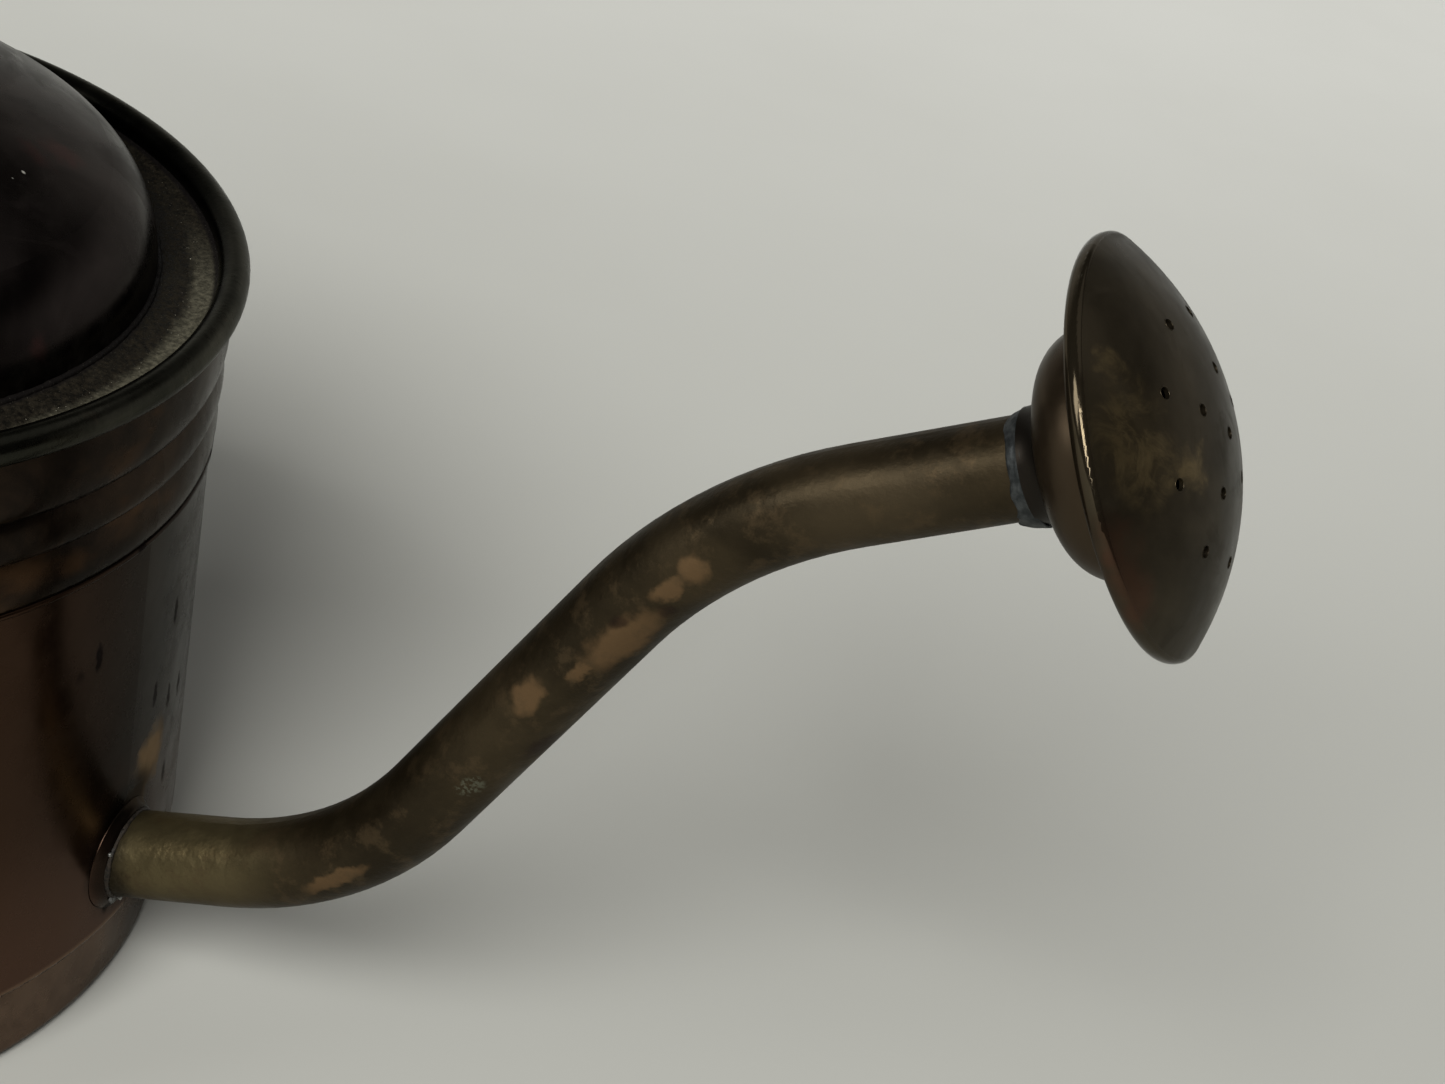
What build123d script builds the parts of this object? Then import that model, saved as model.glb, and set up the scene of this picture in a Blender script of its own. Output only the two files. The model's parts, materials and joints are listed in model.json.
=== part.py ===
from build123d import *
import os
from math import cos, hypot, radians, sin, sqrt

# Indoor watering can of sheet copper with a brass spout, rose and handle.
# Millimetres. The origin is the centre of the base on the surface that the can stands on.
# +Z is up along the can's axis, and the spout points along +X in the plane y = 0.

# ---- driving dimensions ----
SHEET = 0.9                    # thickness of the copper sheet
FOOT_RADIUS = 88.4             # outside of the foot band
FOOT_EDGE = 2.6                # rounding of the foot band's lower edge
FOOT_TOP = 21.0                # top of the foot band, hidden behind the wall
FOOT_LIP = 4.4                 # width of the lip that the base disc sits in
WALL_LIP_Z = 17.2              # underside of the wall's turned-in lower edge
WALL_FOOT_RADIUS = 90.1        # outside of the wall at its lower edge
WALL_TOP_RADIUS = 86.8         # outside of the wall just under the collar
NECK_RADIUS = 85.4             # outside of the wall behind the collar
COLLAR_Z = (99.5, 109.0, 116.9, 129.9)   # lower edge, two grooves, top edge
COLLAR_GROOVE_RADIUS = 86.3
COLLAR_BULGE = 1.2             # how far each band of the collar stands out from its grooves
RIM_RADIUS = 86.75             # centre circle of the rolled rim
RIM_Z = 131.8
RIM_ROLL = 2.75                # radius of the roll's section
RIM_WIRE = 1.9                 # radius of the wire inside the roll
DECK_Z = 130.4                 # top of the deck at the hood's foot
DECK_DISH = 0.6                # how far the deck sags between hood and rim
HOOD_RADIUS = 73.4
HOOD_RISE = 35.2
HOOD_SHOULDER = 20.0           # radius of the hood's shoulder arc
HOOD_CUT_X = -10.0             # the hood ends here, and the filling opening begins
HOOD_ROLL = 2.2                # radius of the rolled edge of the hood
HOOD_WIRE = 1.4
UPSTAND = 2.2                  # height of the deck's inner edge above the deck
LIP_ROLL = 1.6                 # radius of the rolled lip of the filling opening
HOOD_SOLDER = 0.8              # legs of the solder fillet along the hood's foot
TUBE_RADIUS = 8.0              # outside of the spout tube
TUBE_WALL = 0.9
SPOUT_Z = 32.3                 # where the spout's axis meets the wall
SPOUT_ANGLES = (19.8, 63.4, 32.0)        # slope of the three straight stretches
SPOUT_RUNS = (21.7, 55.9, 33.8)          # lengths of the straight stretches outside the can
SPOUT_BENDS = (61.6, 86.9)               # radii of the two bends, on the centre line
SPOUT_INSIDE = 6.0             # how far the tube reaches into the can
ROOT_RING_WIDTH = 2.4          # of the raised ring round the spout's root
ROOT_RING_HEIGHT = 1.8
ROOT_SOLDER = (1.9, 5.4)       # width and height of the solder round the spout's root
ROSE_OFFSET = 11.5             # from the tube's end to the rose's rim plane
ROSE_RADIUS = 31.9
ROSE_RISE = 12.5               # height of the perforated face
ROSE_SPHERE = 48.4             # radius of the perforated face
ROSE_SHEET = 0.8
ROSE_HOLE = 0.95               # radius of one hole
ROSE_INNER_RING = (9.9, (-34, 46, 126, 206, 276))   # radius, and the angles of the holes
ROSE_OUTER_RING = (18.8, 9, 7.0)                    # radius, number of holes, first angle
ROSE_FOLD = 0.7                # thickness of the edge where it is folded under the flange
ROSE_EDGE = 1.9                # how far the rose's folded edge reaches behind the rim plane
CUP_RADIUS = 19.2
CUP_DEPTH = 13.2
FLANGE_DEPTH = 2.9             # how far the flange lies behind the rim plane at the cup
CUP_CORNER = 8.0               # rounding between the cup's side and its back
NECK_BACK = 17.0               # from the rose's rim plane to the neck's end
SMEAR_BACK = 19.3              # from the rose's rim plane to the end of the solder
HANDLE_RADIUS = 6.0
HANDLE_WALL = 1.0
HANDLE_ROUTE = ((19, 158), (27, 240), (-140, 218), (-118, 58), (-84, 50))
HANDLE_BENDS = (46.0, 70.0, 36.0)
PLATE = 1.6                    # thickness of the handle's plates
FRONT_PLATE_RADIUS = 13.0
FRONT_SOLDER = (2.6, 4.4)      # width and height of the solder on the front plate
REAR_PLATE_MARGIN = 7.0        # from a rivet's axis to the end of the rear plate
REAR_PLATE_HALF_WIDTH = 13.0
REAR_SOLDER = (2.8, 7.0)
RIVET_RADIUS = 2.0
RIVET_SPACING = 34.0           # between the two rivets of the rear plate
RIVET_HEAD = (3.8, 1.9)        # radius and height of the outside head
RIVET_TAIL = (3.4, 0.8)        # radius and thickness of the head inside the can
LONG = 20.0                    # length of cutting tools that pass right through


# ---- helpers ----
def turned(profile, angle=360.0):
    """A solid of revolution about Z from a profile drawn with x as radius and y as height."""
    return revolve(Plane.XZ * profile, axis=Axis.Z, revolution_arc=angle)


def ring_section(radius, height, section):
    """The circle that a bead of the given section radius shows in the profile plane."""
    return Pos(radius, height) * Circle(section)


def polygon(*points):
    return make_face(Polyline(*points, close=True))


def band_of_radii(inner, outer, low, high):
    """A rectangle in the profile plane."""
    return polygon((inner, low), (outer, low), (outer, high), (inner, high))


def wall_radius(height):
    """Outside radius of the tapering wall."""
    share = (height - WALL_LIP_Z) / (COLLAR_Z[0] - WALL_LIP_Z)
    return WALL_FOOT_RADIUS + share * (WALL_TOP_RADIUS - WALL_FOOT_RADIUS)


def solder_cone(radius, leg, height):
    """Cone that stands on z = 0 round a tube, and narrows nearly to the tube's own radius."""
    return Cone(radius + leg, radius + 0.2, height, align=(Align.CENTER, Align.CENTER, Align.MIN))


def inside_wall(offset=0.0):
    """Everything within the wall's outer surface, grown by an offset."""
    low, high = 0.0, COLLAR_Z[0]
    outline = polygon(
        (0, low), (wall_radius(low) + offset, low), (wall_radius(high) + offset, high), (0, high)
    )
    return turned(outline)


# ---- base and wall ----
def base_disc():
    """Flat bottom with one pressed stiffening ring."""
    outer = FOOT_RADIUS - FOOT_LIP
    disc = band_of_radii(0, outer, 0, SHEET)
    groove = ring_section(0.8 * outer, -1.6, 2.2)
    return turned(disc - groove)


def foot_band():
    """Upright band around the bottom, turned in under the can at its lower edge."""
    radius, edge, inner = FOOT_RADIUS, FOOT_EDGE, FOOT_EDGE - SHEET
    bend = edge * sqrt(0.5)
    inner_bend = inner * sqrt(0.5)
    centre = radius - edge
    outline = Line((radius, FOOT_TOP), (radius, edge))
    outline += ThreePointArc((radius, edge), (centre + bend, edge - bend), (centre, 0))
    outline += Line((centre, 0), (radius - FOOT_LIP, 0))
    outline += Line((radius - FOOT_LIP, 0), (radius - FOOT_LIP, SHEET))
    outline += Line((radius - FOOT_LIP, SHEET), (centre, SHEET))
    outline += ThreePointArc(
        (centre, SHEET), (centre + inner_bend, edge - inner_bend), (radius - SHEET, edge)
    )
    outline += Line((radius - SHEET, edge), (radius - SHEET, FOOT_TOP))
    outline += Line((radius - SHEET, FOOT_TOP), (radius, FOOT_TOP))
    return turned(make_face(outline))


def wall_profile():
    """Section of the wall: turned-in lower edge, tapering side, neck behind the collar."""
    edge = 1.2
    bend = edge * (1 - sqrt(0.5))
    shoulder = COLLAR_Z[0] - 0.2
    inner_shoulder = COLLAR_Z[0] - 1.2
    low = wall_radius(WALL_LIP_Z + edge)
    high = wall_radius(shoulder)
    inner_high = wall_radius(inner_shoulder) - SHEET
    top = RIM_Z - 1.0
    outline = Line((FOOT_RADIUS, WALL_LIP_Z), (low - edge, WALL_LIP_Z))
    outline += ThreePointArc(
        (low - edge, WALL_LIP_Z), (low - bend, WALL_LIP_Z + bend), (low, WALL_LIP_Z + edge)
    )
    outline += Line((low, WALL_LIP_Z + edge), (high, shoulder))
    outline += Line((high, shoulder), (NECK_RADIUS, COLLAR_Z[0]))
    outline += Line((NECK_RADIUS, COLLAR_Z[0]), (NECK_RADIUS, top))
    outline += Line((NECK_RADIUS, top), (NECK_RADIUS - SHEET, top))
    outline += Line((NECK_RADIUS - SHEET, top), (NECK_RADIUS - SHEET, COLLAR_Z[0]))
    outline += Line((NECK_RADIUS - SHEET, COLLAR_Z[0]), (inner_high, inner_shoulder))
    outline += Line((inner_high, inner_shoulder), (low - SHEET, WALL_LIP_Z + edge))
    outline += Line((low - SHEET, WALL_LIP_Z + edge), (low - edge, WALL_LIP_Z + SHEET))
    outline += Line((low - edge, WALL_LIP_Z + SHEET), (FOOT_RADIUS, WALL_LIP_Z + SHEET))
    outline += Line((FOOT_RADIUS, WALL_LIP_Z + SHEET), (FOOT_RADIUS, WALL_LIP_Z))
    return make_face(outline)


def body_wall():
    wall = turned(wall_profile() - ring_section(RIM_RADIUS, RIM_Z, RIM_ROLL))
    wall -= spout_rod(TUBE_RADIUS)
    for rivet in rear_rivet_places():
        wall -= rivet * Cylinder(RIVET_RADIUS, LONG)
    return wall


def collar_band(low, high):
    """One bulging band of the collar, fullest near its lower edge."""
    groove, full = COLLAR_GROOVE_RADIUS, COLLAR_GROOVE_RADIUS + COLLAR_BULGE
    step = high - low
    return Bezier(
        (groove, low), (full + 0.7, low + 0.12 * step), (full, high - 0.3 * step), (groove, high)
    )


def ribbed_collar():
    """Moulded strip round the top of the wall: three bands with two grooves between them."""
    low, high = COLLAR_Z[0], COLLAR_Z[-1]
    outline = collar_band(COLLAR_Z[0], COLLAR_Z[1])
    outline += collar_band(COLLAR_Z[1], COLLAR_Z[2])
    outline += collar_band(COLLAR_Z[2], COLLAR_Z[3])
    outline += Line((COLLAR_GROOVE_RADIUS, high), (NECK_RADIUS, high))
    outline += Line((NECK_RADIUS, high), (NECK_RADIUS, low))
    outline += Line((NECK_RADIUS, low), (COLLAR_GROOVE_RADIUS, low))
    return turned(make_face(outline) - ring_section(RIM_RADIUS, RIM_Z, RIM_ROLL))


# ---- rim and deck ----
def rim_roll():
    """The sheet rolled round the rim's wire."""
    bead = ring_section(RIM_RADIUS, RIM_Z, RIM_ROLL) - ring_section(RIM_RADIUS, RIM_Z, RIM_WIRE)
    return turned(bead)


def rim_wire():
    return turned(ring_section(RIM_RADIUS, RIM_Z, RIM_WIRE))


def upstand_radius():
    """Outside radius of the deck's upturned inner edge, just inside the hood."""
    return HOOD_RADIUS - SHEET - 0.3


def deck_profile():
    """Section of the dished deck with its upturned inner edge."""
    inner, outer = upstand_radius(), RIM_RADIUS - 1.0
    flat = HOOD_RADIUS + HOOD_SOLDER
    middle = (flat + outer) / 2
    outline = Line((inner - SHEET, DECK_Z + UPSTAND), (inner, DECK_Z + UPSTAND))
    outline += Line((inner, DECK_Z + UPSTAND), (inner, DECK_Z))
    outline += Line((inner, DECK_Z), (flat, DECK_Z))
    outline += ThreePointArc((flat, DECK_Z), (middle, DECK_Z - DECK_DISH), (outer, DECK_Z))
    outline += Line((outer, DECK_Z), (outer, DECK_Z - SHEET))
    outline += ThreePointArc(
        (outer, DECK_Z - SHEET), (middle, DECK_Z - DECK_DISH - SHEET), (flat, DECK_Z - SHEET)
    )
    outline += Line((flat, DECK_Z - SHEET), (inner - SHEET, DECK_Z - SHEET))
    outline += Line((inner - SHEET, DECK_Z - SHEET), (inner - SHEET, DECK_Z + UPSTAND))
    return make_face(outline)


def deck_ring():
    section = deck_profile() - ring_section(RIM_RADIUS, RIM_Z, RIM_ROLL)
    section -= band_of_radii(NECK_RADIUS - SHEET, RIM_RADIUS, 0, RIM_Z)
    section -= filler_lip_section()
    return turned(section)


def filler_lip_section():
    return ring_section(upstand_radius() - SHEET / 2, DECK_Z + UPSTAND, LIP_ROLL)


def filler_lip_roll():
    """Rolled lip round the open rear part of the deck's inner edge."""
    ring = turned(filler_lip_section())
    size = 2 * RIM_RADIUS
    rear = Pos(HOOD_CUT_X - size / 2, 0, DECK_Z) * Box(size, 2 * size, size)
    return (ring & rear) - hood_edge_rod(HOOD_ROLL)


# ---- hood over the front of the can ----
def dome_arcs(radius, rise, shoulder):
    """Shoulder arc, then crown arc, of a dome's half section that starts at (radius, DECK_Z)."""
    crown = (radius**2 + rise**2 - 2 * radius * shoulder) / (2 * (rise - shoulder))
    crown_z = DECK_Z + rise - crown
    shoulder_x = radius - shoulder
    reach = hypot(shoulder_x, DECK_Z - crown_z)
    side, up = shoulder_x / reach, (DECK_Z - crown_z) / reach
    joint = (crown * side, crown_z + crown * up)
    half = hypot(1 + side, up)
    shoulder_middle = (
        shoulder_x + shoulder * (1 + side) / half,
        DECK_Z + shoulder * up / half,
    )
    top_half = hypot(side, 1 + up)
    crown_middle = (crown * side / top_half, crown_z + crown * (1 + up) / top_half)
    first = ThreePointArc((radius, DECK_Z), shoulder_middle, joint)
    second = ThreePointArc(joint, crown_middle, (0, DECK_Z + rise))
    return first, second


def dome_face(offset=0.0):
    """Half section of the whole dome, grown by an offset."""
    first, second = dome_arcs(HOOD_RADIUS + offset, HOOD_RISE + offset, HOOD_SHOULDER + offset)
    outline = first + second
    outline += Line((0, DECK_Z + HOOD_RISE + offset), (0, DECK_Z))
    outline += Line((0, DECK_Z), (HOOD_RADIUS + offset, DECK_Z))
    return make_face(outline)


def hood_profile():
    return dome_face() - dome_face(-SHEET)


def front_half(cut_x):
    size = 2 * RIM_RADIUS
    return Pos(cut_x + size / 2, 0, DECK_Z + size / 2 - 5) * Box(size, 2 * size, size)


def hood_edge_rod(section):
    """Round bar along the hood's cut edge, an arch of three tangent arcs standing on the deck."""
    mid_radius = HOOD_RADIUS - SHEET / 2
    half_width = sqrt(mid_radius**2 - HOOD_CUT_X**2)
    rise = HOOD_RISE - SHEET / 2 - 0.4
    first, second = dome_arcs(half_width, rise, HOOD_SHOULDER - SHEET / 2)
    half_path = first + second
    path = half_path + mirror(half_path, Plane.YZ)
    start = Plane(origin=(half_width, DECK_Z), z_dir=(0, 1, 0))
    bar = sweep(start * Circle(section), path=path)
    return Plane(origin=(HOOD_CUT_X, 0, 0), x_dir=(0, 1, 0), z_dir=(1, 0, 0)) * bar


def above_deck():
    size = 3 * RIM_RADIUS
    return Pos(0, 0, DECK_Z + size / 2) * Box(size, size, size)


def hood():
    shell = turned(hood_profile()) & front_half(HOOD_CUT_X)
    return shell - hood_edge_rod(HOOD_ROLL)


def hood_edge_roll():
    upstand = turned(band_of_radii(1, upstand_radius(), 0, DECK_Z + UPSTAND))
    tube = hood_edge_rod(HOOD_ROLL) - hood_edge_rod(HOOD_WIRE)
    return (tube & above_deck()) - upstand


def hood_edge_wire():
    upstand = turned(band_of_radii(1, upstand_radius(), 0, DECK_Z + UPSTAND))
    return (hood_edge_rod(HOOD_WIRE) & above_deck()) - upstand


def hood_foot_solder():
    """Fillet of solder where the hood stands on the deck."""
    inner = HOOD_RADIUS - 0.2
    top = DECK_Z + HOOD_SOLDER + 0.2
    triangle = polygon((inner, DECK_Z), (HOOD_RADIUS + HOOD_SOLDER, DECK_Z), (inner, top))
    fillet_ring = turned(triangle - dome_face()) & front_half(HOOD_CUT_X)
    return fillet_ring - hood_edge_rod(HOOD_ROLL)


# ---- spout ----
def direction(degrees):
    return Vector(cos(radians(degrees)), 0, sin(radians(degrees)))


def spout_path():
    """Centre line of the spout: three straight stretches with a bend after each of the first two."""
    points = []
    here = Vector(wall_radius(SPOUT_Z), 0, SPOUT_Z)
    first = direction(SPOUT_ANGLES[0])
    points.append(here - first * SPOUT_INSIDE)
    run = SPOUT_RUNS[0]
    for index, bend in enumerate(SPOUT_BENDS):
        turn = abs(SPOUT_ANGLES[index + 1] - SPOUT_ANGLES[index])
        tangent = bend * sin(radians(turn / 2)) / cos(radians(turn / 2))
        here += direction(SPOUT_ANGLES[index]) * (run + tangent)
        points.append(here)
        run = tangent + SPOUT_RUNS[index + 1]
    points.append(here + direction(SPOUT_ANGLES[-1]) * run)
    return FilletPolyline(*points, radius=list(SPOUT_BENDS))


def rod_along(path, section):
    start = Plane(origin=path @ 0, z_dir=path % 0)
    return sweep(start * Circle(section), path=path)


def spout_rod(section):
    return rod_along(spout_path(), section)


def spout_tube():
    return spout_rod(TUBE_RADIUS) - spout_rod(TUBE_RADIUS - TUBE_WALL)


def spout_root_place():
    """Frame where the spout's axis leaves the wall, with its Z along the spout."""
    point = (wall_radius(SPOUT_Z), 0, SPOUT_Z)
    return Location(Plane(origin=point, z_dir=direction(SPOUT_ANGLES[0])))


def spout_root_ring():
    """Raised ring that hugs the wall round the spout."""
    disc = spout_root_place() * Cylinder(TUBE_RADIUS + ROOT_RING_WIDTH, LONG)
    skin = inside_wall(ROOT_RING_HEIGHT) - inside_wall()
    return (disc & skin) - spout_rod(TUBE_RADIUS)


def spout_root_solder():
    """Bead of solder between the root ring and the tube."""
    cone = spout_root_place() * solder_cone(TUBE_RADIUS, *ROOT_SOLDER)
    return cone - inside_wall(ROOT_RING_HEIGHT) - spout_rod(TUBE_RADIUS)


# ---- rose, drawn with Z along the spout's last stretch and z = 0 at its rim plane ----
def rose_place():
    path = spout_path()
    along = path % 1
    up = Vector(-along.Z, 0, along.X)
    return Location(Plane(origin=(path @ 1) + along * ROSE_OFFSET, x_dir=up, z_dir=along))


def rose_sphere_z(radius, shell=ROSE_SPHERE):
    """Height of the perforated face, or of a shell inside it, at a distance from the rose's axis."""
    return ROSE_RISE - ROSE_SPHERE + sqrt(shell**2 - radius**2)


def rose_face_profile():
    """Convex face whose rounded edge folds back round the flange behind it."""
    edge, thick = ROSE_RADIUS, ROSE_SHEET
    inner_shell = ROSE_SPHERE - thick
    brow = edge - 0.5
    brow_z = rose_sphere_z(brow)
    waist = brow_z - 0.8
    back = -ROSE_EDGE
    fold, fold_top = edge - 2.4, back + ROSE_FOLD
    inner_brow = edge - thick
    inner_brow_z = rose_sphere_z(inner_brow, inner_shell)
    outline = ThreePointArc((0, ROSE_RISE), (brow / 2, rose_sphere_z(brow / 2)), (brow, brow_z))
    outline += ThreePointArc((brow, brow_z), (edge - 0.12, brow_z - 0.35), (edge, waist))
    outline += ThreePointArc((edge, waist), (edge - 0.2, back + 0.9), (edge - 1.0, back))
    outline += Line((edge - 1.0, back), (fold, back))
    outline += Line((fold, back), (fold, fold_top))
    outline += Line((fold, fold_top), (inner_brow, fold_top))
    outline += Line((inner_brow, fold_top), (inner_brow, inner_brow_z))
    outline += ThreePointArc(
        (inner_brow, inner_brow_z),
        (inner_brow / 2, rose_sphere_z(inner_brow / 2, inner_shell)),
        (0, ROSE_RISE - thick),
    )
    outline += Line((0, ROSE_RISE - thick), (0, ROSE_RISE))
    return make_face(outline)


def rose_hole_places():
    """Polar places of the holes: one in the middle, an inner ring and an outer ring."""
    places = [(0.0, 0.0)]
    inner_radius, angles = ROSE_INNER_RING
    for angle in angles:
        places.append((inner_radius, angle))
    outer_radius, count, first = ROSE_OUTER_RING
    for index in range(count):
        places.append((outer_radius, first + index * 360.0 / count))
    return places


def rose_face():
    face = turned(rose_face_profile())
    centre = Vector(0, 0, ROSE_RISE - ROSE_SPHERE)
    for radius, angle in rose_hole_places():
        height = sqrt(ROSE_SPHERE**2 - radius**2)
        outward = Vector(radius * cos(radians(angle)), radius * sin(radians(angle)), height)
        place = Location(Plane(origin=centre + outward, z_dir=outward.normalized()))
        face -= place * Cylinder(ROSE_HOLE, 6)
    return rose_place() * face


def rose_flange_profile():
    """Nearly flat ring between the cup and the folded edge of the face."""
    thick = ROSE_SHEET
    inner, outer = CUP_RADIUS - thick, ROSE_RADIUS - thick
    knee = ROSE_RADIUS - 3.0
    low, high = -FLANGE_DEPTH, ROSE_FOLD - ROSE_EDGE
    under = ((inner, low), (knee, high), (outer, high))
    over = ((outer, high + thick), (knee, high + thick), (inner, low + thick))
    return polygon(*under, *over)


def rose_back_flange():
    return rose_place() * turned(rose_flange_profile() - rose_face_profile())


def rose_cup():
    """Shallow cup behind the flange, with the tube's end in its flat back."""
    radius, back, corner, thick = CUP_RADIUS, -CUP_DEPTH, CUP_CORNER, ROSE_SHEET
    inner_radius, front = radius - thick, -1.0
    bend = corner * (1 - sqrt(0.5))
    inner_bend = thick + (corner - thick) * (1 - sqrt(0.5))
    outline = Line((TUBE_RADIUS, back), (radius - corner, back))
    outline += ThreePointArc(
        (radius - corner, back), (radius - bend, back + bend), (radius, back + corner)
    )
    outline += Line((radius, back + corner), (radius, front))
    outline += Line((radius, front), (inner_radius, front))
    outline += Line((inner_radius, front), (inner_radius, back + corner))
    outline += ThreePointArc(
        (inner_radius, back + corner),
        (radius - inner_bend, back + inner_bend),
        (radius - corner, back + thick),
    )
    outline += Line((radius - corner, back + thick), (TUBE_RADIUS, back + thick))
    outline += Line((TUBE_RADIUS, back + thick), (TUBE_RADIUS, back))
    outer, low = radius + 2, -FLANGE_DEPTH
    cover = polygon((inner_radius, low), (outer, low + 0.3), (outer, 0), (inner_radius, 0))
    return rose_place() * turned(make_face(outline) - rose_flange_profile() - cover)


def rose_neck():
    """Short flared ferrule over the tube's end."""
    back, front = -NECK_BACK, -CUP_DEPTH
    narrow, wide = TUBE_RADIUS + 0.9, TUBE_RADIUS + 2.3
    outline = Line((TUBE_RADIUS, back), (narrow, back))
    outline += ThreePointArc((narrow, back), (narrow + 0.3, (back + front) / 2), (wide, front))
    outline += Line((wide, front), (TUBE_RADIUS, front))
    outline += Line((TUBE_RADIUS, front), (TUBE_RADIUS, back))
    return rose_place() * turned(make_face(outline))


def rose_solder():
    """Smear of solder that runs from the neck onto the tube."""
    inner, back, front = TUBE_RADIUS, -SMEAR_BACK, -NECK_BACK
    smear = polygon((inner, back), (inner + 0.35, back + 0.5), (inner + 0.8, front), (inner, front))
    return rose_place() * turned(smear)


# ---- handle ----
def handle_path():
    points = [(x, 0, z) for x, z in HANDLE_ROUTE]
    return FilletPolyline(*points, radius=list(HANDLE_BENDS))


def handle_rod(section):
    return rod_along(handle_path(), section)


def dome_solid(offset=0.0):
    return turned(dome_face(offset))


def handle_tube():
    tube = handle_rod(HANDLE_RADIUS) - handle_rod(HANDLE_RADIUS - HANDLE_WALL)
    return tube - dome_solid() - inside_wall()


def handle_front_place():
    """Frame where the handle's axis leaves the hood, with its Z along the handle."""
    path = handle_path()
    along = path % 0
    crown = HOOD_RISE + DECK_Z - 1.0
    foot = (path @ 0) + along * ((crown - (path @ 0).Z) / along.Z)
    return Location(Plane(origin=foot, z_dir=along))


def handle_front_flange():
    """Round plate that hugs the hood under the handle's front end."""
    disc = handle_front_place() * Cylinder(FRONT_PLATE_RADIUS, LONG)
    return (disc & (dome_solid(PLATE) - dome_solid())) - handle_rod(HANDLE_RADIUS)


def handle_front_solder():
    cone = solder_cone(HANDLE_RADIUS, *FRONT_SOLDER)
    return handle_front_place() * cone - dome_solid(PLATE) - handle_rod(HANDLE_RADIUS)


def handle_rear_height():
    """Height where the handle's last stretch meets the wall."""
    (x1, z1), (x2, z2) = HANDLE_ROUTE[-2:]
    slope = (z2 - z1) / (x2 - x1)
    return z1 + slope * (-wall_radius(z2) - x1)


def rear_frame(height):
    """Frame on the wall at the rear, with Z pointing out of the wall."""
    return Location(Plane(origin=(-wall_radius(height), 0, height), x_dir=(0, 0, 1), z_dir=(-1, 0, 0)))


def rear_rivet_places():
    middle = handle_rear_height()
    return [rear_frame(middle + side * RIVET_SPACING / 2) for side in (1, -1)]


def handle_rear_palm():
    """Oval plate on the wall that carries the handle's rear end."""
    half_height = RIVET_SPACING / 2 + REAR_PLATE_MARGIN
    oval = extrude(Ellipse(half_height, REAR_PLATE_HALF_WIDTH), LONG / 2, both=True)
    plate = rear_frame(handle_rear_height()) * oval & (inside_wall(PLATE) - inside_wall())
    plate -= handle_rod(HANDLE_RADIUS)
    for rivet in rear_rivet_places():
        plate -= rivet * Cylinder(RIVET_RADIUS, LONG)
    return plate


def handle_rear_solder():
    path = handle_path()
    along = (path % 1) * -1
    height = handle_rear_height()
    place = Location(Plane(origin=(-wall_radius(height), 0, height), z_dir=along))
    cone = solder_cone(HANDLE_RADIUS, *REAR_SOLDER)
    return place * cone - inside_wall(PLATE) - handle_rod(HANDLE_RADIUS)


def rear_rivet(index):
    """Domed head outside, shank through plate and wall, flat head inside."""
    place = rear_rivet_places()[index]
    head_radius, head_height = RIVET_HEAD
    tail_radius, tail_height = RIVET_TAIL
    inside = -SHEET - tail_height
    ball = (head_radius**2 + head_height**2) / (2 * head_height)
    head = Sphere(ball) & Pos(0, 0, ball) * Box(4 * ball, 4 * ball, 2 * head_height)
    head = Pos(0, 0, PLATE + head_height - ball - 0.05) * head
    shank = Pos(0, 0, PLATE / 2) * Cylinder(RIVET_RADIUS, PLATE + 2 * SHEET)
    outside = place * (head + shank) - inside_wall(PLATE)
    through = place * Cylinder(RIVET_RADIUS, LONG) & inside_wall(PLATE)
    through -= inside_wall(inside)
    tail = place * Cylinder(tail_radius, LONG) & (inside_wall(-SHEET) - inside_wall(inside))
    return outside + through + tail


# ---- write one STEP file for each piece ----
PIECES = {
    "base_disc": base_disc,
    "foot_band": foot_band,
    "body_wall": body_wall,
    "ribbed_collar": ribbed_collar,
    "rim_roll": rim_roll,
    "rim_wire": rim_wire,
    "deck_ring": deck_ring,
    "filler_lip_roll": filler_lip_roll,
    "hood": hood,
    "hood_edge_roll": hood_edge_roll,
    "hood_edge_wire": hood_edge_wire,
    "hood_foot_solder": hood_foot_solder,
    "spout_tube": spout_tube,
    "spout_root_ring": spout_root_ring,
    "spout_root_solder": spout_root_solder,
    "rose_solder": rose_solder,
    "rose_neck": rose_neck,
    "rose_cup": rose_cup,
    "rose_back_flange": rose_back_flange,
    "rose_face": rose_face,
    "handle_tube": handle_tube,
    "handle_front_flange": handle_front_flange,
    "handle_front_solder": handle_front_solder,
    "handle_rear_palm": handle_rear_palm,
    "handle_rear_solder": handle_rear_solder,
    "handle_rear_rivet_upper": lambda: rear_rivet(0),
    "handle_rear_rivet_lower": lambda: rear_rivet(1),
}

os.makedirs("parts", exist_ok=True)
for name, make in PIECES.items():
    export_step(make(), f"parts/{name}.step")
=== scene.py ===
"""Looks of the watering can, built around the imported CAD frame. Metres, +Z up, spout along +X."""
import json
import math
import random

import bmesh
import bpy
from mathutils import Matrix, Vector, noise


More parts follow.
